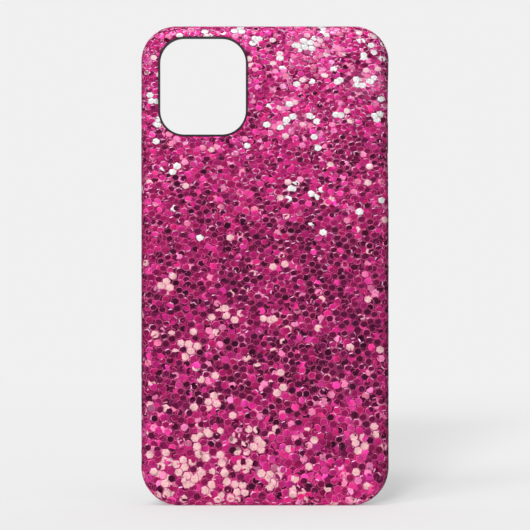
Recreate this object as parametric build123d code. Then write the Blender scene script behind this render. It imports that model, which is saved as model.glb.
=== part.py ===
"""Two-layer phone case: a rigid glitter-faced shell over a soft liner, with three press-through keys.

Frame: the origin is the middle of the lining face that the phone's back lies on. +X is to the right when
the glitter face is looked at, +Z is towards the camera end and +Y is out of the pocket, away from that face.
All lengths are in millimetres.
"""

import math
import os

from build123d import *

# The phone that the case fits, and the play left around it.
PHONE_WIDTH, PHONE_HEIGHT, PHONE_THICKNESS = 75.7, 150.9, 8.3
PLAY = 0.1

# Layers, from the phone outwards.
LINING = 0.35
LINER_WALL, LINER_FLOOR = 0.85, 0.70
SHELL = 0.95
GLITTER = 0.25

# Distance of each layer's outer face from the case's outer face.
SHELL_IN = GLITTER
LINER_IN = GLITTER + SHELL
POCKET_IN = LINER_IN + LINER_WALL

# Outer form.
WIDTH = PHONE_WIDTH + 2 * (PLAY + POCKET_IN)
HEIGHT = PHONE_HEIGHT + 2 * (PLAY + POCKET_IN)
SIDE_X, END_Z = WIDTH / 2, HEIGHT / 2
TOP_CORNER, BOTTOM_CORNER = 11.2, 12.4
BACK_ROUND = 3.0
BACK_Y = -(LINING + LINER_FLOOR + SHELL + GLITTER)
MID_Y = PHONE_THICKNESS / 2

# Front edge, and the lip that keeps the phone in.
SHELL_FRONT = 7.6
LIP_BACK = PHONE_THICKNESS + 0.15
LIP_FRONT = PHONE_THICKNESS + 1.0
LIP_REACH = 1.1
LIP_OUTER_ROUND, LIP_INNER_ROUND = 0.8, 0.35
POCKET_ROUND = 0.9

# Camera opening, and the liner's collar that lines it.
CAMERA_X, CAMERA_Z = -20.05, 58.0
CAMERA_WIDTH, CAMERA_HEIGHT, CAMERA_CORNER = 27.7, 31.0, 7.8
COLLAR_WALL, COLLAR_PROUD, COLLAR_ROUND = 0.6, 0.35, 0.25

# Keys: height of the middle above the seat's middle, length, how far the cap stands out past the case's
# side, and side (+1 or -1 along X).
KEYS = {
    "volume_up": (41.6, 10.2, 0.0, 1),
    "volume_down": (28.0, 10.2, 0.0, 1),
    "side_key": (34.5, 16.8, 0.2, -1),
}
KEY_WIDTH, KEY_PLAY, KEY_CROWN = 3.0, 0.25, 0.25
FLANGE_REACH, FLANGE_THICKNESS, FLANGE_GAP = 0.45, 0.25, 0.10
PAD_INSET, PAD_THICKNESS = 0.2, 0.5
PAD_WIDTH = KEY_WIDTH - 2 * PAD_INSET
WEB_SPAN, WEB_THICKNESS = 0.8, 0.2
TRAVEL = 0.3
PAD_X = SIDE_X - POCKET_IN + TRAVEL
CAP_X = PAD_X + PAD_THICKNESS

# The long shallow hollow in the right wall that the volume keys and the switch opening stand in.
SCOOP_Z, SCOOP_LENGTH, SCOOP_DEPTH = 43.1, 52.0, 0.35
SCOOP_RADIUS = (SCOOP_LENGTH ** 2 / 4 + SCOOP_DEPTH ** 2) / (2 * SCOOP_DEPTH)

# Openings in the walls.
SWITCH_Z, SWITCH_LENGTH, SWITCH_WIDTH = 53.4, 10.0, 5.0
PORT_LENGTH, PORT_WIDTH = 13.0, 5.4
SOUND_X, SOUND_LENGTH, SOUND_WIDTH = 21.5, 15.0, 2.6
BEVEL = 0.4

# Lining sheet, with its corner cut away round the camera opening.
LINING_MARGIN, LINING_CORNER = 1.6, 7.0
LINING_CLEAR = 0.9

# Grooves that let each corner of the liner crush.
GROOVE_RADIUS, GROOVE_COUNT, GROOVE_STEP = 0.42, 6, 15.0
GROOVE_BACK, GROOVE_FRONT = 1.2, 7.9

BEYOND = 5.0


def outline(inset):
    """The case's rounded outline, drawn in by inset."""
    plain = Rectangle(WIDTH - 2 * inset, HEIGHT - 2 * inset)
    half = fillet(plain.vertices().group_by(Axis.Y)[-1], TOP_CORNER - inset)
    return fillet(half.vertices().group_by(Axis.Y)[0], BOTTOM_CORNER - inset)


def stand(sketch, back, front):
    """A sketch drawn in X and Z, made solid from back to front along Y."""
    return extrude(Plane.XZ.offset(-front) * sketch, front - back)


def block(inset, front):
    """The whole case as a solid block, drawn in by inset, with its back edge rounded."""
    body = stand(outline(inset), BACK_Y + inset, front)
    return fillet(body.edges().group_by(Axis.Y)[0], BACK_ROUND - inset)


def side_bar(side, length, width, z, start, end):
    """A round-ended bar along Z, reaching from start to end along X on one side."""
    plane = Plane.YZ.offset(start if side > 0 else -end)
    return extrude(plane * Pos(MID_Y, z) * SlotOverall(length, width, rotation=90), end - start)


def bottom_bar(x, length, width):
    """A round-ended bar along X that runs right through the bottom wall."""
    plane = Plane.XY.offset(-END_Z - BEYOND)
    return extrude(plane * Pos(x, MID_Y) * SlotOverall(length, width), 2 * BEYOND)


def bevel(near, far, length, width, turn):
    """The bevelled mouth of a round-ended opening, flaring from the near plane to the far one."""
    flare = 4 * BEVEL
    return loft([
        (near * SlotOverall(length, width, rotation=turn)).face(),
        (far * SlotOverall(length + flare, width + flare, rotation=turn)).face(),
    ])


def camera_hole(grow, back=BACK_Y - BEYOND, front=BEYOND):
    """The camera opening, grown by grow all round."""
    hole = RectangleRounded(
        CAMERA_WIDTH + 2 * grow, CAMERA_HEIGHT + 2 * grow, CAMERA_CORNER + grow
    )
    return stand(Pos(CAMERA_X, CAMERA_Z) * hole, back, front)


def side_scoop(inset):
    """What the long shallow hollow takes out of the right wall, with its face drawn in by inset."""
    centre = SIDE_X - SCOOP_DEPTH + SCOOP_RADIUS
    return stand(
        Pos(centre, SCOOP_Z) * Circle(SCOOP_RADIUS + inset), BACK_Y - BEYOND, LIP_FRONT + BEYOND
    )


def switch_opening():
    """The opening over the phone's switch, through the right wall."""
    rise = SCOOP_RADIUS - math.sqrt(SCOOP_RADIUS ** 2 - (SWITCH_Z - SCOOP_Z) ** 2)
    surface = SIDE_X - SCOOP_DEPTH + rise
    middle = Pos(MID_Y, SWITCH_Z)
    mouth = bevel(
        Plane.YZ.offset(surface - BEVEL) * middle,
        Plane.YZ.offset(surface + BEVEL) * middle,
        SWITCH_LENGTH, SWITCH_WIDTH, 90,
    )
    return mouth + side_bar(1, SWITCH_LENGTH, SWITCH_WIDTH, SWITCH_Z, SIDE_X - BEYOND, SIDE_X)


def port_opening():
    """The opening over the charging port, through the bottom wall."""
    middle = Pos(0, MID_Y)
    mouth = bevel(
        Plane.XY.offset(-END_Z + BEVEL) * middle,
        Plane.XY.offset(-END_Z - BEVEL) * middle,
        PORT_LENGTH, PORT_WIDTH, 0,
    )
    return mouth + bottom_bar(0, PORT_LENGTH, PORT_WIDTH)


def wall_openings():
    """The openings that go through every layer of the walls."""
    sound = [bottom_bar(side * SOUND_X, SOUND_LENGTH, SOUND_WIDTH) for side in (-1, 1)]
    return [switch_opening(), port_opening()] + sound


def key_holes():
    """The holes in the shell that the keys stand in."""
    play = 2 * KEY_PLAY
    return [
        side_bar(side, length + play, KEY_WIDTH + play, z, SIDE_X - BEYOND, SIDE_X + BEYOND)
        for z, length, _, side in KEYS.values()
    ]


def flange_reliefs():
    """Shallow hollows inside the shell, one behind the rim of each key hole."""
    end = CAP_X + FLANGE_THICKNESS + FLANGE_GAP
    grow = 2 * (FLANGE_REACH + KEY_PLAY)
    return [
        side_bar(side, length + grow, KEY_WIDTH + grow, z, end - BEYOND, end)
        for z, length, _, side in KEYS.values()
    ]


def cut(body, cutters):
    """The body with each cutter taken out of it."""
    for cutter in cutters:
        body = body - cutter
    return body


def make_glitter_layer():
    """Clear resin skin that holds the flakes, over the back and the sides."""
    outer = block(0, SHELL_FRONT) - side_scoop(0)
    inner = block(SHELL_IN, SHELL_FRONT + BEYOND) - side_scoop(SHELL_IN)
    return cut(outer - inner, [camera_hole(COLLAR_WALL)] + wall_openings() + key_holes())


def make_outer_shell():
    """Rigid shell under the glitter."""
    outer = block(SHELL_IN, SHELL_FRONT) - side_scoop(SHELL_IN)
    inner = block(LINER_IN, SHELL_FRONT + BEYOND)
    cutters = [camera_hole(COLLAR_WALL)] + wall_openings() + key_holes() + flange_reliefs()
    return cut(outer - inner, cutters)


def corner_grooves():
    """Upright grooves in the pocket's four corners."""
    first = 45.0 - GROOVE_STEP * (GROOVE_COUNT - 1) / 2
    grooves = []
    for side in (-1, 1):
        for end, corner in ((1, TOP_CORNER), (-1, BOTTOM_CORNER)):
            radius = corner - POCKET_IN
            for step in range(GROOVE_COUNT):
                angle = math.radians(first + GROOVE_STEP * step)
                x = side * (SIDE_X - corner + radius * math.cos(angle))
                z = end * (END_Z - corner + radius * math.sin(angle))
                grooves.append(stand(Pos(x, z) * Circle(GROOVE_RADIUS), GROOVE_BACK, GROOVE_FRONT))
    return grooves


def make_liner():
    """Soft inner tray, with the lip that grips the phone and the collar round its camera."""
    tray = block(LINER_IN, SHELL_FRONT)
    band = stand(outline(0), SHELL_FRONT, LIP_FRONT)
    band = fillet(band.edges().group_by(Axis.Y)[-1], LIP_OUTER_ROUND)
    pocket = stand(outline(POCKET_IN), -LINING, LIP_BACK)
    pocket = fillet(pocket.edges().group_by(Axis.Y)[0], POCKET_ROUND)
    mouth = stand(outline(POCKET_IN + LIP_REACH), MID_Y, LIP_FRONT + BEYOND)
    body = tray + band - pocket - mouth
    rim = body.faces().filter_by(Axis.Y).sort_by(Axis.Y)[-1].inner_wires()[0]
    body = fillet(rim.edges(), LIP_INNER_ROUND)
    collar = camera_hole(COLLAR_WALL, BACK_Y - COLLAR_PROUD, -LINING)
    collar = fillet(collar.edges().group_by(Axis.Y)[0], COLLAR_ROUND)
    windows = [
        side_bar(side, length + 2 * (WEB_SPAN - PAD_INSET), PAD_WIDTH + 2 * WEB_SPAN, z,
                 SIDE_X - BEYOND, SIDE_X + BEYOND)
        for z, length, _, side in KEYS.values()
    ]
    cutters = [camera_hole(0), side_scoop(0)] + wall_openings() + windows + corner_grooves()
    return cut(body + collar, cutters)


def make_back_lining():
    """Microfibre sheet on the pocket floor, cut away at the camera's corner."""
    edge = POCKET_IN + LINING_MARGIN
    sheet = RectangleRounded(WIDTH - 2 * edge, HEIGHT - 2 * edge, LINING_CORNER)
    right = CAMERA_X + CAMERA_WIDTH / 2 + LINING_CLEAR
    bottom = CAMERA_Z - CAMERA_HEIGHT / 2 - LINING_CLEAR
    notch = RectangleRounded(SIDE_X + right, END_Z - bottom, CAMERA_CORNER + LINING_CLEAR)
    notch = Pos((right - SIDE_X) / 2, (END_Z + bottom) / 2) * notch
    return stand(sheet - notch, -LINING, 0)


def make_key(z, length, proud, side):
    """A key's hard cap, its soft pad, and the thin web that joins the pad to the liner."""
    stem = side_bar(side, length, KEY_WIDTH, z, CAP_X, SIDE_X + proud)
    outer_face = stem.faces().sort_by(Axis.X)[-1 if side > 0 else 0]
    stem = fillet(outer_face.edges(), KEY_CROWN)
    grow = 2 * FLANGE_REACH
    flange = side_bar(
        side, length + grow, KEY_WIDTH + grow, z, CAP_X, CAP_X + FLANGE_THICKNESS
    )
    pad_length = length - 2 * PAD_INSET
    pad = side_bar(side, pad_length, PAD_WIDTH, z, PAD_X, CAP_X)
    window = (pad_length + 2 * WEB_SPAN, PAD_WIDTH + 2 * WEB_SPAN)
    web = side_bar(side, *window, z, PAD_X, PAD_X + WEB_THICKNESS) - pad
    return {"cap": stem + flange, "pad": pad, "web": web}


def main():
    nodes = {
        "glitter_layer": make_glitter_layer(),
        "outer_shell": make_outer_shell(),
        "liner": make_liner(),
        "back_lining": make_back_lining(),
    }
    for key, shape in KEYS.items():
        for piece, solid in make_key(*shape).items():
            nodes[f"{key}_{piece}"] = solid
    os.makedirs("parts", exist_ok=True)
    for name, solid in nodes.items():
        export_step(solid, f"parts/{name}.step")


main()
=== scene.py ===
"""The looks of a glitter phone case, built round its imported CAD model.

Lengths are in millimetres, in the CAD model's frame: +X to the right when the glitter face is looked at,
+Z towards the camera end and +Y out of the pocket. Only what is handed to Blender is in metres, and so the
textures' scales are per metre.
"""
import math

import bpy
import numpy as np
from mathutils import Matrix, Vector


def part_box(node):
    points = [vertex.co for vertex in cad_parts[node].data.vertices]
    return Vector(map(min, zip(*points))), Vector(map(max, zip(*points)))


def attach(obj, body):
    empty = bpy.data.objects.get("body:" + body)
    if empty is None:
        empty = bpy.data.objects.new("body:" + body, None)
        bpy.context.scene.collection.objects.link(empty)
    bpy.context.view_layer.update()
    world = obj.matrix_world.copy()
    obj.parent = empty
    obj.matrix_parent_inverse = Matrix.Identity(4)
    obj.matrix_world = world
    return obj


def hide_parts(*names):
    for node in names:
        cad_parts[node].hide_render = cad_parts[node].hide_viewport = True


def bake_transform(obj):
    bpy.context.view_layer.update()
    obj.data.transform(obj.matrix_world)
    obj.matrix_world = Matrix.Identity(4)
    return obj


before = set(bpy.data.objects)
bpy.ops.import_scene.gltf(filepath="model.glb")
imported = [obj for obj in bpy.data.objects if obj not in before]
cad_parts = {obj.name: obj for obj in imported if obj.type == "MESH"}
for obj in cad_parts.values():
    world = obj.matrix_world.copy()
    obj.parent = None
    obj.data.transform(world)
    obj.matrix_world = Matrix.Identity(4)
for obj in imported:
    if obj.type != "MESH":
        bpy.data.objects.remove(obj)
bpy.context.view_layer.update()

MM = 0.001

# Outer form, from the CAD model's boxes and its corner radii.
GLITTER_LOW, GLITTER_HIGH = (np.array(corner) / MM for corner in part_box("glitter_layer"))
SIDE_X, FRONT_Y, END_Z = GLITTER_HIGH
BACK_Y = GLITTER_LOW[1]
TOP_CORNER, BOTTOM_CORNER, BACK_ROUND = 11.2, 12.4, 3.0
MID_Y = 4.15

# Openings in the glittered walls, and the long hollow round the volume keys: middle, size and radius.
CAMERA_X, CAMERA_Z = -20.05, 58.0
CAMERA_WIDTH, CAMERA_HEIGHT, CAMERA_CORNER = 28.9, 32.2, 8.4
SWITCH_Z, SWITCH_LENGTH, SWITCH_WIDTH = 53.4, 10.8, 5.8
SCOOP_Z, SCOOP_LENGTH, SCOOP_DEPTH = 43.1, 52.0, 0.35
SCOOP_RADIUS = (SCOOP_LENGTH ** 2 / 4 + SCOOP_DEPTH ** 2) / (2 * SCOOP_DEPTH)
PORT_LENGTH, PORT_WIDTH = 13.8, 6.2
SOUND_X, SOUND_LENGTH, SOUND_WIDTH = 21.5, 15.0, 2.6
KEY_PLAY, KEY_FLANGE = 0.25, 0.45
KEYS = ("volume_up", "volume_down", "side_key")

# Flakes: radius at the case's middle, how much it shrinks and how much flatter they get with each
# millimetre of height, how their sizes vary, their thickness, and the share of the radius that the bevel
# takes, away from a glint and beside one.
FLAKE_RADIUS, FLAKE_SHRINK, FLAKE_FLATTEN = 1.45, 0.0012, 0.0019
SIZE_RANGE, PALE_GROWTH = (0.94, 1.04), 1.05
FLAKE_THICKNESS = 0.07
FLAKE_BEVEL, GLINT_BEVEL = 0.19, 0.34
SIDES = 6

# How the flakes lie: their rows, how far neat and messy ones stray and lean, how much messier the top is
# and how much calmer they lie round the edges. Turns are in radians, and leans are slopes.
FLAKE_SPACING = 1.06
ROW_TURN, TURN_SPREAD = math.radians(-15), 0.13
ROW_WANDER, WANDER_WAVES, WANDER_LENGTHS = 0.5, 8, (30.0, 60.0)
NEAT_SPREAD, MESSY_SPREAD = 0.12, 0.45
NEAT_LEAN, MESSY_LEAN = 0.04, 0.12
MESSIER_TOP = 0.35
EDGE_CALM = 0.75
FLAKE_SEED = 746

# How near the flakes come to the front edge and to the openings.
FRONT_MARGIN = 0.4
OPENING_REACH, OPENING_GAP = 0.55, 0.04
KEY_GAP, SLOT_MARGIN = 0.1, 0.3

# The layers of flakes, from the lowest: how far each is shifted along its rows, which share of the places
# is filled, which share of the flakes is messy, how common dark and pale ones are, and how high they lie.
LAYERS = (
    {
        "shift": 0.40, "share": 0.95, "messy": 0.5, "dark": 0.3, "pale": 0.35,
        "lift": (0.0, 0.04), "pale_lift": 0.0,
    },
    {
        "shift": 0.00, "share": 0.96, "messy": 0.2, "dark": 1.1, "pale": 1.0,
        "lift": (0.06, 0.12), "pale_lift": 0.08,
    },
    {
        "shift": 0.25, "share": 0.06, "messy": 0.9, "dark": 0.6, "pale": 0.6,
        "lift": (0.15, 0.19), "pale_lift": 0.03,
    },
)

# A length to divide by in place of none, and one that is beyond the whole case.
TINY, FAR = 1e-9, 1e3


# ---------------------------------------------------------------- the case's outer face

def rounded(x, z, half_x, half_z, radius):
    """How far points lie outside a rounded rectangle about the origin, and the way out of it."""
    past_x = np.abs(x) - half_x + radius
    past_z = np.abs(z) - half_z + radius
    corner = (past_x > 0) & (past_z > 0)
    reach = np.hypot(np.maximum(past_x, 0), np.maximum(past_z, 0))
    out = np.where(corner, reach, np.maximum(past_x, past_z)) - radius
    divide = np.maximum(reach, TINY)
    way_x = np.where(corner, past_x / divide, past_x >= past_z) * np.sign(x)
    way_z = np.where(corner, past_z / divide, past_x < past_z) * np.sign(z)
    return out, way_x, way_z


def outline(x, z):
    """The same for the case's own outline, with its radius at that end."""
    radius = np.where(z > 0, TOP_CORNER, BOTTOM_CORNER)
    return (*rounded(x, z, SIDE_X, END_Z, radius), radius)


def wrap(u, v):
    """Where a flat pattern's points land on the back, the rounded edge and the side walls.

    Returns the places, the outward normals and how much a corner squeezes the pattern along its rim.
    """
    out, way_x, way_z, radius = outline(u, v)
    along = np.maximum(out + BACK_ROUND, 0)
    turn = np.minimum(along / BACK_ROUND, math.pi / 2)
    aside = BACK_ROUND * np.sin(turn)
    rise = BACK_ROUND * (1 - np.cos(turn)) + np.maximum(along - BACK_ROUND * math.pi / 2, 0)
    place = np.stack(
        [u + way_x * (aside - along), BACK_Y + rise, v + way_z * (aside - along)], axis=-1
    )
    normal = np.stack([way_x * np.sin(turn), -np.cos(turn), way_z * np.sin(turn)], axis=-1)
    core = radius - BACK_ROUND
    cornered = (way_x != 0) & (way_z != 0)
    squeeze = np.where(cornered, (core + aside) / (core + along), 1.0)
    return place, normal, squeeze


def settle(points, lift):
    """Points near the case, moved to its outer face and raised off it by lift."""
    x, y, z = (points[..., i] for i in range(3))
    out, way_x, way_z, _ = outline(x, z)
    aside = np.maximum(out + BACK_ROUND, 0)
    behind = np.minimum(y - BACK_Y - BACK_ROUND, 0)
    grow = (BACK_ROUND + lift) / np.maximum(np.hypot(aside, behind), TINY) - 1
    x = x + way_x * aside * grow
    y = np.minimum(y + behind * grow, FRONT_Y - OPENING_GAP)
    z = z + way_z * aside * grow
    hollow = np.sqrt(np.maximum(SCOOP_RADIUS ** 2 - (z - SCOOP_Z) ** 2, 0))
    x = np.minimum(x, SIDE_X - SCOOP_DEPTH + SCOOP_RADIUS - hollow + lift)
    return np.stack([x, y, z], axis=-1)


def tangents(normal):
    """Two directions along the surface: the back's +X and +Z, turned with it round the edge."""
    nx, ny, nz = (normal[..., i] for i in range(3))
    share = 1 / (1 - ny)
    across = np.stack([nz * nz * share - ny, nx, -nx * nz * share], axis=-1)
    upward = np.stack([-nx * nz * share, nz, nx * nx * share - ny], axis=-1)
    return across, upward


# ---------------------------------------------------------------- openings that the flakes stop at

def key_size(key):
    """The middle height, length, width and outermost X of a key's cap."""
    low, high = (np.array(corner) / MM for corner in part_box(f"{key}_cap"))
    side = math.copysign(1, low[0] + high[0])
    middle = (low[2] + high[2]) / 2
    length = high[2] - low[2] - 2 * KEY_FLANGE
    width = high[1] - low[1] - 2 * KEY_FLANGE
    return middle, length, width, side * max(abs(low[0]), abs(high[0]))


def openings():
    """Each opening: the axis it faces and which way, its in-plane axes, middle, sizes and corner radius."""
    found = [
        (1, -1, (0, 2), (CAMERA_X, CAMERA_Z), (CAMERA_WIDTH, CAMERA_HEIGHT), CAMERA_CORNER),
        (0, 1, (1, 2), (MID_Y, SWITCH_Z), (SWITCH_WIDTH, SWITCH_LENGTH), SWITCH_WIDTH / 2),
        (2, -1, (0, 1), (0, MID_Y), (PORT_LENGTH, PORT_WIDTH), PORT_WIDTH / 2),
    ]
    for side in (-1, 1):
        found.append((
            2, -1, (0, 1), (side * SOUND_X, MID_Y), (SOUND_LENGTH, SOUND_WIDTH), SOUND_WIDTH / 2
        ))
    for key in KEYS:
        middle, length, width, outermost = key_size(key)
        wide, long = width + 2 * KEY_PLAY + 2 * KEY_GAP, length + 2 * KEY_PLAY + 2 * KEY_GAP
        found.append((0, math.copysign(1, outermost), (1, 2), (MID_Y, middle), (wide, long), wide / 2))
    return found


OPENINGS = openings()
WALL = {0: SIDE_X, 1: -BACK_Y, 2: END_Z}
WALL_DEPTH = 1.5


def into_opening(points, opening):
    """How far points lie outside an opening, far away for those on another wall, and the way out."""
    axis, side, (first, second), middle, size, radius = opening
    out, way_a, way_b = rounded(
        points[..., first] - middle[0], points[..., second] - middle[1],
        size[0] / 2, size[1] / 2, radius,
    )
    here = side * points[..., axis] > WALL[axis] - WALL_DEPTH
    return np.where(here, out, FAR), way_a, way_b


def clear_openings(points):
    """Points moved to the rim of any opening that they reach into."""
    points = points.copy()
    for opening in OPENINGS:
        out, way_a, way_b = into_opening(points, opening)
        push = np.maximum(OPENING_GAP - out, 0)
        first, second = opening[2]
        points[..., first] += way_a * push
        points[..., second] += way_b * push
    return points


# ---------------------------------------------------------------- the pattern's colours

PALETTE = np.array([
    (72, 19, 49),
    (97, 22, 62),
    (148, 28, 88),
    (190, 38, 116),
    (224, 58, 148),
    (240, 130, 178),
    (241, 190, 192),
    # Painted glints: white flakes that stand in for flashes of light.
    (241, 238, 239),
]) / 255
RIM_PINK = np.array((255, 116, 172)) / 255
# Painted glints: the bright pink-white of bevels that face the light.
PAINTED_RIM_GLINT = np.array((255, 194, 228)) / 255
RIM_PALE = np.array((252, 146, 194)) / 255
# Painted glow: the lighter pink of flakes round the brightest glints.
PAINTED_GLOW_PINK = np.array((250, 124, 182)) / 255

# How common each colour of the palette is, at rising heights of the case.
HEIGHTS = (-77, -49, -34, -22, 10, 40, 75)
SHARES = np.array([
    (5, 20, 27, 29, 5, 4, 15, 0),
    (14, 30, 22, 18, 6, 8, 9, 0),
    (22, 57, 18, 9, 3, 3, 6, 0),
    (19, 46, 21, 10, 3, 3, 6, 0),
    (9, 42, 31, 13, 3, 2.5, 2.5, 0.5),
    (1, 20, 32, 26, 12, 7, 5, 1),
    (0, 3, 16, 25, 22, 18, 17, 6),
])

# Groups of pale flakes low on the case, and of white ones high on it that are painted glints: X, Z and
# radius.
PALE_GROUPS = (
    (-17, -71, 9.5), (-27, -67, 7.5), (-19, -60, 4.5), (-20, -56, 4), (-2, -58, 4), (11, -72, 3.5),
    (34, -56, 3.5), (4, -38, 3), (-15, -44, 3), (-25, -28, 3), (-34, -37, 3), (-12, -16, 3), (2, -15, 3),
    (-31, -7, 3), (-16, -22, 2), (3, -68, 3), (-7, -65, 2.5), (-33, -72, 3), (-31, -59, 2),
)
GLINT_GROUPS = (
    (13, 71, 2.6), (31, 59, 1.9), (36, 60, 1.7), (-3, 73, 1.8), (-9, 76, 1.8), (7, 53, 2.1), (9, 48, 1.7),
    (23, 48, 1.7), (16, 48, 1.3), (1, 45, 1.2), (-35, 47, 1.7), (-37, 54, 1.7), (-29, 31, 1.2),
    (9, 26, 1.5), (18, 25, 1.0), (30, 18, 1.0), (15, 12, 0.9), (-30, 19, 0.9), (17, 42, 1.2), (24, 60, 1.0),
    (-27, 74, 1.3), (-18, 75, 1.5), (19, 76, 1.6), (31, 73, 1.2), (35, 71, 1.2), (32, 67, 1.1),
    (15, 61, 1.4), (37, 54, 1.3), (36, 49, 1.3), (2, 50, 1.0), (17, 38, 0.9), (8, 22, 1.0),
    (-21, 9, 0.9), (38, 22, 1.0),
)
# Broad patches where the pattern is lighter or darker: X, Z and radius.
LIGHT_PATCHES = (
    (24, 17, 8), (-15, -26, 6), (24, -54, 6), (34, -54, 7), (14, 63, 6), (-34, 14, 5), (-17, -74, 6),
    (6, 53, 4),
)
DARK_PATCHES = (
    (-34, -11, 8), (-24, 15, 7), (-34, -43, 6), (-15, -43, 5), (34, 43, 6), (-5, -73, 7), (27, 66, 3),
    (5, 72, 4),
)
# Painted glow: where the flakes round the brightest white groups turn a lighter pink, standing in for their
# glare: X, Z and radius.
PAINTED_GLOW_GROUPS = ((13, 71, 4.8), (31, 59, 3.6), (36, 60, 3.6), (9, 47, 3.0), (1, 45, 2.4), (7, 53, 2.6))

# Places in the palette: its dark tones, its pinks, its pale tones, and the pink and pale ones together. The
# last pale tone is the white of painted glints.
DARKS, PINKS, PALES, LIGHTS = slice(0, 2), slice(4, 6), slice(6, 8), slice(4, 8)
PEACH, GLINT_WHITE = 6, 7

# How strongly random patches and the placed ones change how common each kind of flake is, with painted
# shade by tone as dark flakes grow more common towards the right and rarer towards the left.
DARK_DRIFT, PINK_DRIFT, PALE_DRIFT = 0.55, 0.5, 0.4
PALE_SHARE, DARK_BIAS = 0.55, 1.2
DARKER_RIGHT, RIGHT_RANGE = 0.5, (-0.6, 1.5)
PALE_PULL, PALE_FOCUS = 150, 1.5
GLINT_PULL, GLINT_FOCUS = 800, 2

# How flakes of one kind differ, how far their colours go towards cream, the painted glow, the rims' pinks
# or the painted glints, and how strong each flake's painted sheen is.
BRIGHTNESS_SPREAD, HUE_SPREAD, PALE_SPREAD = 0.1, 0.03, 0.03
CREAM_SHARE, PAINTED_GLOW_SHARE = 0.6, 0.7
FLAKE_RIM_RANGE, BEVEL_RIM_RANGE = (0.45, 0.95), (0.8, 1.0)
GLINT_RANGE, PALE_RIM_RANGE = (0.7, 1.0), (0.6, 1.0)
SHEEN_SHAPE = (1.2, 3.0)

# How often each bevel, from the upper left round to the upper right, gets a painted glint as if it caught the
# light, and how much more often it does at the top.
RIM_LIT, LIT_MORE_HIGH = (0.15, 0.02, 0.03, 0.08, 0.02, 0.05), 3.5

# Painted shade on the long edges, standing in for the light that falls off round them: how dark it turns, how
# far inside the outline that starts, and how wide it is on the flakes and on the resin. Then the strip along
# the
# right edge, with more painted shade: where it starts, how soon it is whole, and how much darker and how much
# less pale its flakes are.
PAINTED_SHADE_LEFT, PAINTED_SHADE_RIGHT = 0.16, 0.4
SHADE_START, SHADE_WIDTH, RESIN_FADE = 1.2, 2.6, 2.0
STRIP_X, STRIP_FADE, STRIP_SHADE, STRIP_PALE = 35.0, 2.0, 0.08, 0.6


def linear(colour):
    """Display colour as scene light."""
    colour = np.clip(colour, 0, 1)
    return np.where(colour <= 0.04045, colour / 12.92, ((colour + 0.055) / 1.055) ** 2.4)


def mixed(colour, other, share):
    """A colour taken a share of the way towards another."""
    return colour * (1 - share) + other * share


def drift(u, v, rng, waves=14, shortest=9.0, longest=30.0):
    """A smooth random field of about -1 to 1, for patches where one kind of flake gathers."""
    total = np.zeros_like(u)
    for _ in range(waves):
        length = rng.uniform(shortest, longest)
        heading, phase = rng.uniform(0, 2 * math.pi, 2)
        total += np.cos(2 * math.pi / length * (u * math.cos(heading) + v * math.sin(heading)) + phase)
    return total / math.sqrt(waves / 2)


def near_groups(u, v, groups):
    """1 in the middle of any group, falling to 0 outside it."""
    close = np.zeros_like(u)
    for x, z, radius in groups:
        close = np.maximum(close, np.exp(-((u - x) ** 2 + (v - z) ** 2) / radius ** 2))
    return close


def high_up(v):
    """0 from the case's middle down, rising to 1 at its top."""
    return np.clip(v / END_Z, 0, 1)


def right_shade_strip(u):
    """1 in the strip along the right edge that gets more painted shade, and 0 away from it."""
    return np.clip((u - STRIP_X) / STRIP_FADE, 0, 1)


def pick_tones(u, v, rng, dark_share, pale_share):
    """A palette index for each flake of the flat pattern, with fewer or more dark and pale ones."""
    height = np.clip(v, HEIGHTS[0], HEIGHTS[-1])
    weights = np.stack([np.interp(height, HEIGHTS, shares) for shares in SHARES.T], axis=-1)
    dark, pale = drift(u, v, rng), drift(u, v, rng)
    weights[:, DARKS] *= np.exp(DARK_DRIFT * dark)[:, None]
    weights[:, PINKS] *= np.exp(PINK_DRIFT * pale)[:, None]
    weights[:, PALES] *= np.exp(PALE_DRIFT * pale)[:, None] * PALE_SHARE
    bias = near_groups(u, v, LIGHT_PATCHES) - near_groups(u, v, DARK_PATCHES)
    weights[:, DARKS] *= np.exp(-DARK_BIAS * bias)[:, None]
    weights[:, LIGHTS] *= np.exp(bias)[:, None]
    # Painted shade by tone: fewer pink and pale flakes in the right edge's strip, and more dark ones towards
    # the right.
    weights[:, LIGHTS] *= (1 - STRIP_PALE * right_shade_strip(u))[:, None]
    weights[:, DARKS] *= dark_share * (1 + DARKER_RIGHT * np.clip(u / SIDE_X, *RIGHT_RANGE))[:, None]
    weights[:, PEACH] += PALE_PULL * near_groups(u, v, PALE_GROUPS) ** PALE_FOCUS
    # Painted glints: white flakes gathered in their groups.
    weights[:, GLINT_WHITE] += GLINT_PULL * near_groups(u, v, GLINT_GROUPS) ** GLINT_FOCUS
    weights[:, PALES] *= pale_share
    running = np.cumsum(weights, axis=1)
    draw = rng.random(len(u)) * running[:, -1]
    return (draw[:, None] > running).sum(axis=1)


def painted_side_shade(u):
    """How much painted shade darkens the pattern round the two long edges, the right one more than the left.
    """
    round_edge = np.clip((np.abs(u) - SIDE_X + SHADE_START) / SHADE_WIDTH, 0, 1)
    shade = 1 - round_edge * np.where(u > 0, PAINTED_SHADE_RIGHT, PAINTED_SHADE_LEFT)
    return shade * (1 - STRIP_SHADE * right_shade_strip(u))


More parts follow.
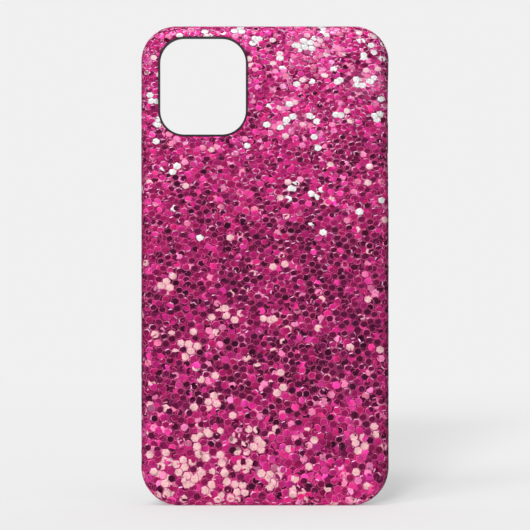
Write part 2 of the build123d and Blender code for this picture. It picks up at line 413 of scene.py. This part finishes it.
def flake_colours(spots, rng):
    """Each flake's face colour and the colours of its six bevels, as scene light."""
    u, v, tones = spots["u"], spots["v"], spots["tone"]
    count = len(u)
    peach, glint_white = ((tones == tone)[:, None] for tone in (PEACH, GLINT_WHITE))
    face = PALETTE[tones] * (1 + BRIGHTNESS_SPREAD * rng.standard_normal((count, 1)))
    face = face * (1 + HUE_SPREAD * rng.standard_normal((count, 3)))
    cream = mixed(PALETTE[tones], PALETTE[GLINT_WHITE], CREAM_SHARE * high_up(v)[:, None] * peach)
    face = np.where(peach | glint_white, cream * (1 - PALE_SPREAD * rng.random((count, 1))), face)
    # Painted glow: flakes round the brightest glints turn a lighter pink, the white ones excepted.
    face = mixed(face, PAINTED_GLOW_PINK, PAINTED_GLOW_SHARE * near_groups(u, v, PAINTED_GLOW_GROUPS)[:, None] * ~glint_white)
    share = rng.uniform(*FLAKE_RIM_RANGE, (count, 1, 1)) * rng.uniform(*BEVEL_RIM_RANGE, (count, SIDES, 1))
    rims = mixed(face[:, None], RIM_PINK, share)
    # Painted glints: some bevels turn a bright pink-white, as if they caught the light.
    shine = spots["lit"][..., None] * rng.uniform(*GLINT_RANGE, (count, SIDES, 1))
    rims = mixed(rims, PAINTED_RIM_GLINT, shine)
    pale_rims = mixed(face[:, None], RIM_PALE, rng.uniform(*PALE_RIM_RANGE, (count, SIDES, 1)))
    rims = np.where(peach[:, None], pale_rims, rims)
    # Painted glints: white flakes are white to their rims.
    rims = np.where(glint_white[:, None], PALETTE[GLINT_WHITE], rims)
    # Painted shade: the flakes' colours darkened round the long edges, the right one more than the left.
    shade = painted_side_shade(u)[:, None]
    return linear(face * shade), linear(rims * shade[:, None])


# ---------------------------------------------------------------- flakes

def flake_size(v):
    """A flake's radius and its height as a share of its width, at a height of the flat pattern."""
    return FLAKE_RADIUS - FLAKE_SHRINK * v, 1 - FLAKE_FLATTEN * (v + END_Z)


def flattened(height):
    """Height on the flat pattern of a point of the pattern as it would be with no flattening."""
    return (1 - np.exp(-FLAKE_FLATTEN * height)) / FLAKE_FLATTEN - END_Z


def unflattened(v):
    """The reverse of flattened."""
    return -np.log(1 - FLAKE_FLATTEN * (v + END_Z)) / FLAKE_FLATTEN


def lattice(reach_u, reach_v, shift):
    """Staggered rows of points over the flat pattern, closer together where the flakes are smaller."""
    low, middle, high = (unflattened(v) for v in (-reach_v, 0, reach_v))
    reach_up = max(high - middle, middle - low)
    reach = math.hypot(reach_u, reach_up)
    rows_u, rows_v = [], []
    rise, row = -reach, 0
    while rise < reach:
        radius = flake_size(flattened(middle + rise * math.cos(ROW_TURN)))[0]
        pitch = math.sqrt(3) * radius * FLAKE_SPACING
        steps = math.ceil(reach / pitch)
        along = pitch * (np.arange(-steps, steps) + 0.5 * (row % 2) + shift)
        u = along * math.cos(ROW_TURN) - rise * math.sin(ROW_TURN)
        height = along * math.sin(ROW_TURN) + rise * math.cos(ROW_TURN)
        inside = (np.abs(u) < reach_u) & (np.abs(height) < reach_up)
        rows_u.append(u[inside])
        rows_v.append(flattened(middle + height[inside]))
        rise += 1.5 * radius * FLAKE_SPACING
        row += 1
    return np.concatenate(rows_u), np.concatenate(rows_v)


def scatter(layer, rng):
    """The flakes of one layer: their places on the flat pattern, sizes, turns, leans and lifts."""
    wrapped = math.pi / 2 * BACK_ROUND + FRONT_Y - BACK_Y - BACK_ROUND
    reach = wrapped - BACK_ROUND
    u, v = lattice(SIDE_X + reach, END_Z + reach, layer["shift"])
    wander_u, wander_v = (
        ROW_WANDER * drift(u, v, rng, WANDER_WAVES, *WANDER_LENGTHS) for _ in range(2)
    )
    u, v = u + wander_u, v + wander_v
    count = len(u)
    messy = rng.random(count) < layer["messy"] + MESSIER_TOP * high_up(v)
    spread = np.where(messy, MESSY_SPREAD, NEAT_SPREAD)
    u = u + spread * rng.standard_normal(count)
    v = v + spread * rng.standard_normal(count)
    place, normal, squeeze = wrap(u, v)
    keep = (rng.random(count) < squeeze * layer["share"]) & (place[:, 1] < FRONT_Y - FRONT_MARGIN)
    for opening in OPENINGS:
        keep &= into_opening(place, opening)[0] > -OPENING_REACH
    u, v, messy = u[keep], v[keep], messy[keep]
    calm = 1 - EDGE_CALM * np.hypot(normal[keep, 0], normal[keep, 2])
    count = len(u)
    radius, flat = flake_size(v)
    lean = np.where(messy, MESSY_LEAN, NEAT_LEAN) * calm
    tones = pick_tones(u, v, rng, layer["dark"], layer["pale"])
    pale = tones >= PEACH
    return {
        "u": u,
        "v": v,
        "tone": tones,
        "radius": radius * rng.uniform(*SIZE_RANGE, count) * np.where(pale, PALE_GROWTH, 1),
        "flat": flat,
        "turn": np.where(
            messy,
            rng.uniform(0, 2 * math.pi, count),
            ROW_TURN + TURN_SPREAD * rng.standard_normal(count),
        ),
        "lean_u": lean * rng.standard_normal(count),
        "lean_v": lean * rng.standard_normal(count),
        "lift": (rng.uniform(*layer["lift"], count) + layer["pale_lift"] * pale) * calm,
        # Which bevels get a painted glint.
        "lit": rng.random((count, SIDES)) < np.outer(1 + LIT_MORE_HIGH * high_up(v), RIM_LIT),
    }


def merged(groups):
    """Several sets of flakes as one."""
    return {name: np.concatenate([group[name] for group in groups]) for name in groups[0]}


def chosen(spots, keep):
    """Some of a set of flakes."""
    return {name: values[keep] for name, values in spots.items()}


def beside_slots(spots):
    """Which flakes have their middles outside every slot in the walls, so that none can span one."""
    place = wrap(spots["u"], spots["v"])[0]
    keep = np.ones(len(place), bool)
    for slot in OPENINGS[1:]:
        keep &= into_opening(place, slot)[0] > SLOT_MARGIN
    return keep


def on_case(spots, a, b, lift):
    """Points a and b along the surface from each flake's middle, on the case's outer face."""
    place, normal, _ = wrap(spots["u"], spots["v"])
    across, upward = tangents(normal)
    points = place[:, None] + a[..., None] * across[:, None] + b[..., None] * upward[:, None]
    return settle(clear_openings(points), lift)


def hexagons(spots):
    """Corner offsets of each flake's face and rim, and how far its lean raises each corner."""
    angles = np.radians(90 + 360 / SIDES * np.arange(SIDES))[None] + spots["turn"][:, None]
    beside_glint = spots["lit"] | np.roll(spots["lit"], 1, axis=1)
    rings = []
    for share in (1 - np.where(beside_glint, GLINT_BEVEL, FLAKE_BEVEL), 1.0):
        a = share * spots["radius"][:, None] * np.cos(angles)
        b = share * spots["radius"][:, None] * np.sin(angles) * spots["flat"][:, None]
        rise = spots["lean_u"][:, None] * a + spots["lean_v"][:, None] * b
        rings.append((a, b, rise))
    return rings


def add_object(name, data):
    """A new object in the scene."""
    added = bpy.data.objects.new(name, data)
    bpy.context.scene.collection.objects.link(added)
    return added


def plate_mesh(name, points, count):
    """A mesh of closed bevelled hexagons, from each one's face corners and then its rim corners."""
    base = 2 * SIDES * np.arange(count)[:, None]
    ring = np.arange(SIDES)
    turned = np.roll(ring, -1)
    tops = base + ring
    floors = base + SIDES + ring[::-1]
    bevel = np.stack([ring + SIDES, turned + SIDES, turned, ring], axis=-1)
    bevels = (base[:, :, None] + bevel).reshape(-1, 4)
    corners = np.concatenate([tops.ravel(), floors.ravel(), bevels.ravel()])
    sizes = np.concatenate([np.full(2 * count, SIDES), np.full(SIDES * count, 4)])

    mesh = bpy.data.meshes.new(name)
    mesh.vertices.add(len(points))
    mesh.vertices.foreach_set("co", points.ravel())
    mesh.loops.add(len(corners))
    mesh.loops.foreach_set("vertex_index", corners)
    mesh.polygons.add(len(sizes))
    mesh.polygons.foreach_set("loop_start", np.concatenate([[0], np.cumsum(sizes)[:-1]]))
    mesh.update(calc_edges=True)
    return mesh


def build_flakes(name, spots, material, rng):
    """One mesh of flakes, each with its own colours and a painted sheen across it, riding on the case."""
    count = len(spots["radius"])
    (face_a, face_b, face_rise), (rim_a, rim_b, rim_rise) = hexagons(spots)
    lift = spots["lift"][:, None]
    face_points = on_case(spots, face_a, face_b, np.maximum(lift + face_rise, 0) + FLAKE_THICKNESS)
    rim_points = on_case(spots, rim_a, rim_b, np.maximum(lift + rim_rise, 0))
    points = np.concatenate([face_points, rim_points], axis=1).reshape(-1, 3) * MM
    mesh = plate_mesh(name, points, count)

    faces, rims = flake_colours(spots, rng)
    colours = np.concatenate([faces, faces, rims.reshape(-1, 3)])
    colours = np.concatenate([colours, np.ones((len(colours), 1))], axis=1)
    colour = mesh.attributes.new("flake_colour", "FLOAT_COLOR", "FACE")
    colour.data.foreach_set("color", colours.ravel())

    # Painted reflection: each flake but the white glints gets lighter towards a random side, as a tilted
    # mirror flake would.
    heading = rng.uniform(0, 2 * math.pi, (count, 1))
    strength = rng.beta(*SHEEN_SHAPE, (count, 1)) * (spots["tone"] != GLINT_WHITE)[:, None]
    slopes = []
    for a, b in ((face_a, face_b), (rim_a, rim_b)):
        slopes.append(strength * (a * np.cos(heading) + b * np.sin(heading)) / spots["radius"][:, None])
    sheen = mesh.attributes.new("flake_sheen", "FLOAT", "POINT")
    sheen.data.foreach_set("value", np.concatenate(slopes, axis=1).ravel())

    piece = add_object(name, mesh)
    mesh.materials.append(material)
    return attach(piece, "case")


# ---------------------------------------------------------------- materials

class Nodes:
    """A node tree, with short ways to add to it."""

    def __init__(self, tree):
        self.tree = tree

    def add(self, kind, **values):
        """A node with its settings and the values of its named inputs."""
        node = self.tree.nodes.new(kind)
        for name, value in values.items():
            if hasattr(node, name):
                setattr(node, name, value)
            else:
                node.inputs[name.replace("_", " ")].default_value = value
        return node

    def link(self, output, target):
        """Joins an output to an input of another node."""
        self.tree.links.new(output, target)

    def combine(self, operation, *values):
        """Arithmetic on outputs of other nodes, or on an output and plain numbers."""
        node = self.add("ShaderNodeMath", operation=operation)
        for socket, value in zip(node.inputs, values):
            if isinstance(value, float):
                socket.default_value = value
            else:
                self.link(value, socket)
        return node.outputs[0]

    def remap(self, value, source, target):
        """A value stretched from one range to another."""
        node = self.add("ShaderNodeMapRange")
        for name, number in zip(("From Min", "From Max", "To Min", "To Max"), (*source, *target)):
            node.inputs[name].default_value = number
        self.link(value, node.inputs["Value"])
        return node.outputs["Result"]


class Finish(Nodes):
    """A Principled material, with short ways to pattern it."""

    def __init__(self, name, **values):
        self.material = bpy.data.materials.new(name)
        self.material.use_nodes = True
        super().__init__(self.material.node_tree)
        self.shader = self.tree.nodes["Principled BSDF"]
        for socket, value in values.items():
            self.shader.inputs[socket.replace("_", " ")].default_value = value

    def drive(self, name, output):
        """Joins an output to one of the shader's own inputs."""
        self.link(output, self.shader.inputs[name])

    def noise(self, scale, detail, roughness=0.5, stretch=None):
        """Noise in the object's own metres, stretched by a scale along each axis if one is given."""
        place = self.add("ShaderNodeTexCoord").outputs["Object"]
        if stretch:
            mapping = self.add("ShaderNodeMapping", Scale=stretch)
            self.link(place, mapping.inputs["Vector"])
            place = mapping.outputs["Vector"]
        node = self.add("ShaderNodeTexNoise", Scale=scale, Detail=detail, Roughness=roughness)
        self.link(place, node.inputs["Vector"])
        return node.outputs["Fac"]

    def cells(self, scale):
        """Cells in the object's own metres."""
        place = self.add("ShaderNodeTexCoord").outputs["Object"]
        node = self.add("ShaderNodeTexVoronoi", Scale=scale, Randomness=1.0)
        self.link(place, node.inputs["Vector"])
        return node

    def ramp(self, value, stops):
        """A colour for each value, from stops of place and colour."""
        node = self.add("ShaderNodeValToRGB")
        elements = node.color_ramp.elements
        while len(elements) < len(stops):
            elements.new(0.5)
        for element, (at, colour) in zip(elements, stops):
            element.position = at
            element.color = (*colour, 1)
        self.link(value, node.inputs["Fac"])
        return node.outputs["Color"]

    def scaled(self, colour, factor):
        """A colour made brighter or darker by a factor."""
        node = self.add("ShaderNodeVectorMath", operation="SCALE")
        self.link(colour, node.inputs[0])
        self.link(factor, node.inputs["Scale"])
        return node.outputs[0]

    def bump(self, height, depth, strength):
        """Relief from a height between 0 and 1, as deep as depth in millimetres."""
        node = self.add("ShaderNodeBump", Strength=strength, Distance=depth * MM)
        self.link(height, node.inputs["Height"])
        self.drive("Normal", node.outputs["Normal"])


def rgb(red, green, blue):
    """A display colour, out of 255, as scene light."""
    return tuple(float(c) for c in linear(np.array((red, green, blue)) / 255))


EDGE_TINT = (*rgb(110, 40, 80), 1)
# The middle stretch of a noise's values, which few points lie beyond.
NOISE_SPAN = (0.3, 0.7)


def flake_finish():
    """Foil flakes in clear resin: each flake's own colour, with a painted sheen brighter towards one side of
    it.
    """
    look = Finish("flake_foil", Metallic=0.45, Roughness=0.3, Specular_IOR_Level=0.03, Coat_Weight=0.03,
                  Coat_Roughness=0.1, Specular_Tint=EDGE_TINT)
    colour = look.add("ShaderNodeAttribute", attribute_name="flake_colour")
    sheen = look.add("ShaderNodeAttribute", attribute_name="flake_sheen")
    # Painted sheen: the colour scaled up and down across each flake.
    bright = look.remap(sheen.outputs["Fac"], (-0.8, 0.8), (0.55, 1.55))
    mottle = look.remap(look.noise(scale=1700, detail=2), NOISE_SPAN, (0.8, 1.22))
    both = look.combine("MULTIPLY", bright, mottle)
    look.drive("Base Color", look.scaled(colour.outputs["Color"], both))
    look.bump(look.noise(scale=900, detail=2), depth=0.02, strength=0.5)
    return look.material


def resin_finish():
    """The resin bed under the flakes, fine dust in the flakes' pinks, and painted shade at the long edges."""
    look = Finish("glitter_resin", Metallic=0.3, Roughness=0.3, Specular_IOR_Level=0.03, Coat_Weight=0.03,
                  Specular_Tint=EDGE_TINT)
    dust = look.cells(scale=1700)
    tone = look.ramp(dust.outputs["Color"], (
        (0.15, rgb(112, 14, 74)), (0.45, rgb(168, 24, 104)),
        (0.75, rgb(200, 44, 130)), (0.95, rgb(236, 130, 178)),
    ))
    # Painted shade: the resin darkened towards both long edges, the right one more.
    place = look.add("ShaderNodeSeparateXYZ")
    look.link(look.add("ShaderNodeTexCoord").outputs["Object"], place.inputs[0])
    edge, fade = SIDE_X * MM, RESIN_FADE * MM
    right = look.remap(place.outputs["X"], (edge - fade, edge), (1.0, 1 - PAINTED_SHADE_RIGHT))
    left = look.remap(place.outputs["X"], (-edge, fade - edge), (1 - PAINTED_SHADE_LEFT, 1.0))
    look.drive("Base Color", look.scaled(tone, look.combine("MULTIPLY", left, right)))
    look.bump(dust.outputs["Distance"], depth=0.04, strength=0.6)
    return look.material


def shell_finish():
    """The shell's own moulded magenta plastic."""
    look = Finish("shell_plastic", Roughness=0.36, Coat_Weight=0.2, Coat_Roughness=0.2)
    streaks = look.noise(scale=260, detail=4)
    look.drive("Base Color", look.ramp(streaks, ((0.3, rgb(128, 14, 78)), (0.7, rgb(156, 22, 96)))))
    look.bump(look.noise(scale=4200, detail=2), depth=0.01, strength=0.5)
    return look.material


def cap_finish():
    """Satin black moulded plastic, a little more polished in patches where fingers press it."""
    look = Finish("cap_plastic", Specular_IOR_Level=0.5)
    mottle = look.noise(scale=420, detail=4, roughness=0.6)
    look.drive("Base Color", look.ramp(mottle, ((0.3, rgb(20, 20, 23)), (0.7, rgb(33, 32, 36)))))
    look.drive("Roughness", look.remap(look.noise(scale=700, detail=3), NOISE_SPAN, (0.3, 0.46)))
    look.bump(look.noise(scale=7000, detail=2), depth=0.008, strength=0.6)
    return look.material


def liner_finish():
    """Soft-touch black elastomer with a fine moulded grain."""
    look = Finish("liner_rubber", Specular_IOR_Level=0.4, Sheen_Weight=0.06, Sheen_Roughness=0.5)
    mottle = look.noise(scale=340, detail=5, roughness=0.6)
    look.drive("Base Color", look.ramp(mottle, ((0.3, rgb(19, 19, 21)), (0.7, rgb(30, 30, 33)))))
    look.drive("Roughness", look.remap(look.noise(scale=900, detail=3), NOISE_SPAN, (0.42, 0.62)))
    look.bump(look.cells(scale=3600).outputs["Distance"], depth=0.018, strength=0.7)
    return look.material


def lining_finish():
    """Short-pile microfibre, with single fibres catching the light and broad patches lying differently."""
    look = Finish("lining_microfibre", Roughness=0.95, Sheen_Weight=0.55, Sheen_Roughness=0.35,
                  Specular_IOR_Level=0.15, Sheen_Tint=(*rgb(150, 140, 150), 1))
    pile_share, patch_share = 0.9, 0.1
    patches = look.remap(look.noise(scale=40, detail=2), NOISE_SPAN, (0.0, patch_share))
    pile = look.noise(scale=1500, detail=4, roughness=0.75, stretch=(1, 1, 0.4))
    tone = look.ramp(look.combine("MULTIPLY_ADD", pile, pile_share, patches), (
        (0.25, rgb(24, 22, 26)), (0.5, rgb(42, 39, 45)), (0.75, rgb(70, 66, 74)),
    ))
    look.drive("Base Color", tone)
    look.bump(pile, depth=0.12, strength=0.8)
    return look.material


# ---------------------------------------------------------------- pieces

def paint(node, material):
    """Gives a CAD node its material."""
    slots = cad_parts[node].material_slots
    if slots:
        for slot in slots:
            slot.material = material
    else:
        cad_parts[node].data.materials.append(material)


def case_flakes(material):
    """The flakes over the back and the side walls, in pieces small enough to keep their detail."""
    rng = np.random.default_rng(FLAKE_SEED)
    spots = merged([scatter(layer, rng) for layer in LAYERS])
    spots = chosen(spots, beside_slots(spots))
    u, v = spots["u"], spots["v"]
    flat = outline(u, v)[0] < -BACK_ROUND / 2
    upright = np.abs(u) - SIDE_X > np.abs(v) - END_Z
    third = END_Z / 3
    areas = {
        "flakes_back_top": flat & (v > third),
        "flakes_back_middle": flat & (np.abs(v) <= third),
        "flakes_back_bottom": flat & (v < -third),
        "flakes_left_wall": ~flat & upright & (u < 0),
        "flakes_right_wall": ~flat & upright & (u >= 0),
        "flakes_top_wall": ~flat & ~upright & (v > 0),
        "flakes_bottom_wall": ~flat & ~upright & (v <= 0),
    }
    for name, keep in areas.items():
        piece = build_flakes(name, chosen(spots, keep), material, rng)


# The thin web round each key's pad: its width, thickness and rise, and how finely it is drawn.
WEB_SPAN, WEB_THICKNESS, WEB_RISE = 0.8, 0.12, 0.07
WEB_RINGS, WEB_STEPS = 9, 48


def obround_ring(middle, half_long, half_wide, x):
    """Points round a round-ended slot in a side wall, at one depth."""
    straight = half_long - half_wide
    points = []
    for step in range(WEB_STEPS):
        angle = 2 * math.pi * step / WEB_STEPS
        end = straight if math.cos(angle) >= 0 else -straight
        points.append((x, MID_Y + half_wide * math.sin(angle), middle + end + half_wide * math.cos(angle)))
    return points


def web_points(low, high, side, inner_x):
    """Rings of points from a web's inner edge to its outer one, two at each step: its two faces."""
    middle = (low[2] + high[2]) / 2
    half_long, half_wide = (high[2] - low[2]) / 2, (high[1] - low[1]) / 2
    points = []
    for ring in range(WEB_RINGS):
        share = ring / (WEB_RINGS - 1)
        slope = share * share * (3 - 2 * share)
        shrink = WEB_SPAN * (1 - share)
        ring_x = inner_x + side * WEB_RISE * slope
        for depth in (0, WEB_THICKNESS):
            x = ring_x + side * depth
            points += obround_ring(middle, half_long - shrink, half_wide - shrink, x)
    return points


def web_faces():
    """Faces that close those rings: the two faces of the web, then its inner and outer edges."""
    faces = []
    for ring in range(WEB_RINGS - 1):
        here, there = 2 * WEB_STEPS * ring, 2 * WEB_STEPS * (ring + 1)
        far_here, far_there = here + WEB_STEPS, there + WEB_STEPS
        for step in range(WEB_STEPS):
            after = (step + 1) % WEB_STEPS
            faces.append((here + step, here + after, there + after, there + step))
            faces.append((far_here + step, far_there + step, far_there + after, far_here + after))
    for start, flip in ((0, False), (2 * WEB_STEPS * (WEB_RINGS - 1), True)):
        far = start + WEB_STEPS
        for step in range(WEB_STEPS):
            after = (step + 1) % WEB_STEPS
            face = (start + step, far + step, far + after, start + after)
            faces.append(face[::-1] if flip else face)
    return faces


def web_piece(key, material):
    """The web round a key's pad, from its inner edge at the pad out to its outer one at the liner."""
    low, high = (np.array(corner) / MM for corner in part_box(f"{key}_web"))
    side = math.copysign(1, low[0])
    inner_x = side * min(abs(low[0]), abs(high[0]))
    points = web_points(low, high, side, inner_x)
    mesh = bpy.data.meshes.new(f"{key}_flexure")
    mesh.from_pydata([tuple(c * MM for c in point) for point in points], [], web_faces())
    mesh.update()
    mesh.shade_smooth()
    mesh.materials.append(material)
    piece = add_object(f"{key}_flexure", mesh)
    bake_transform(piece)
    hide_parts(f"{key}_web")


# The lining's softened cut edge, and how squarely a face looks out of the pocket to count in its area.
LINING_EDGE, FACING_OUT = 0.12, 0.9


def lining_piece(material):
    """The lining sheet, with its cut edge softened."""
    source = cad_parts["back_lining"]
    mesh = source.data.copy()
    mesh.materials.clear()
    mesh.materials.append(material)
    piece = add_object("lining_sheet", mesh)
    soften = piece.modifiers.new("soft_edge", "BEVEL")
    soften.width, soften.segments, soften.limit_method = LINING_EDGE * MM, 3, "ANGLE"
    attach(piece, "case")
    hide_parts("back_lining")


def make_pieces():
    """Every piece of the case, with its finish."""
    rubber, satin = liner_finish(), cap_finish()
    paint("glitter_layer", resin_finish())
    paint("outer_shell", shell_finish())
    paint("liner", rubber)
    for key in KEYS:
        paint(f"{key}_cap", satin)
        paint(f"{key}_pad", rubber)
        web_piece(key, rubber)
    case_flakes(flake_finish())
    lining_piece(lining_finish())


# ---------------------------------------------------------------- stage, light and camera

BACKGROUND = (*rgb(240, 240, 240), 1)
FLOOR_REACH, FLOOR_TONE, FLOOR_GLOW = 6000.0, 0.45, 0.29
# How far off, in metres, the floor's fade into the background starts and ends.
FLOOR_FADE = (0.55, 1.1)
# How far to the side the surround starts to dim, as a share of the way, and how dim it gets.
SIDE_START, SIDE_LIGHT = 0.35, 0.15
# Lights: where they stand, in metres, their strength, and how many degrees wide they look.
KEY_LIGHT = {"place": (-0.3, -0.9, 0.85), "energy": 1.25, "softness": 22}
FLOOR_LIGHT = {"place": (-0.13, -1.0, 0.24), "energy": 4.2, "softness": 9}
# Camera: the width of its view, its distance, its sensor's width and its height over the case's middle.
VIEW_WIDTH, CAMERA_DISTANCE, SENSOR, CAMERA_RAISE = 171.9, 1000.0, 36.0, 0.32


def make_floor():
    """A pale floor that fades into the background some way off."""
    mesh = bpy.data.meshes.new("floor")
    reach, height = FLOOR_REACH * MM, -END_Z * MM
    corners = ((-reach, -reach), (reach, -reach), (reach, reach), (-reach, reach))
    mesh.from_pydata([(x, y, height) for x, y in corners], [], [(0, 1, 2, 3)])
    floor = add_object("floor", mesh)
    look = Finish("floor_paper", Roughness=1.0, Specular_IOR_Level=0.0,
                  Base_Color=(FLOOR_TONE, FLOOR_TONE, FLOOR_TONE, 1),
                  Emission_Color=(1, 1, 1, 1), Emission_Strength=FLOOR_GLOW)
    length = look.add("ShaderNodeVectorMath", operation="LENGTH")
    look.link(look.add("ShaderNodeTexCoord").outputs["Object"], length.inputs[0])
    fade = look.remap(length.outputs["Value"], FLOOR_FADE, (0.0, 1.0))
    glow = look.add("ShaderNodeEmission", Color=BACKGROUND, Strength=1.0)
    blend = look.add("ShaderNodeMixShader")
    look.link(fade, blend.inputs["Fac"])
    look.link(look.shader.outputs["BSDF"], blend.inputs[1])
    look.link(glow.outputs["Emission"], blend.inputs[2])
    output = next(n for n in look.tree.nodes if n.type == "OUTPUT_MATERIAL")
    look.link(blend.outputs["Shader"], output.inputs["Surface"])
    mesh.materials.append(look.material)
    return floor


def aim(thing, place, target):
    """Puts a light or camera at a place, in metres, looking at a target."""
    thing.location = Vector(place)
    thing.rotation_euler = (Vector(target) - Vector(place)).to_track_quat("-Z", "Y").to_euler()


def make_world():
    """An even background, and a surround that is dimmer at the sides, as between two dark screens."""
    world = bpy.data.worlds.new("surround")
    world.use_nodes = True
    surround = Nodes(world.node_tree)
    split = surround.add("ShaderNodeSeparateXYZ")
    surround.link(surround.add("ShaderNodeTexCoord").outputs["Generated"], split.inputs[0])
    aside = surround.combine("ABSOLUTE", split.outputs["X"])
    light = surround.remap(aside, (SIDE_START, 1.0), (1.0, SIDE_LIGHT))
    seen = surround.add("ShaderNodeLightPath").outputs["Is Camera Ray"]
    background = surround.tree.nodes["Background"]
    surround.link(surround.combine("MAXIMUM", light, seen), background.inputs["Strength"])
    background.inputs["Color"].default_value = BACKGROUND
    bpy.context.scene.world = world


def make_light(name, settings, receivers=None):
    """A soft distant light, on everything or only on what is in a collection."""
    sun = bpy.data.lights.new(name, "SUN")
    sun.energy, sun.angle = settings["energy"], math.radians(settings["softness"])
    holder = add_object(name, sun)
    aim(holder, settings["place"], (0, 0, 0))
    if receivers:
        holder.light_linking.receiver_collection = receivers


def make_lights(floor):
    """A soft key from the upper left, and a low one from the front that only draws the floor's shadow."""
    floor_only = bpy.data.collections.new("floor_only")
    floor_only.objects.link(floor)
    make_light("key", KEY_LIGHT)
    make_light("low_key", FLOOR_LIGHT, receivers=floor_only)


def make_camera():
    """A long lens, level with the case's middle and square to its back."""
    lens = bpy.data.cameras.new("camera")
    lens.sensor_width = SENSOR
    lens.lens = SENSOR * CAMERA_DISTANCE / VIEW_WIDTH
    camera = add_object("camera", lens)
    raised = CAMERA_RAISE * MM
    aim(camera, (0, (BACK_Y + BACK_ROUND - CAMERA_DISTANCE) * MM, raised), (0, 0, raised))
    bpy.context.scene.camera = camera


make_camera()
make_pieces()
make_world()
make_lights(make_floor())
bpy.context.scene.view_settings.view_transform = "Standard"
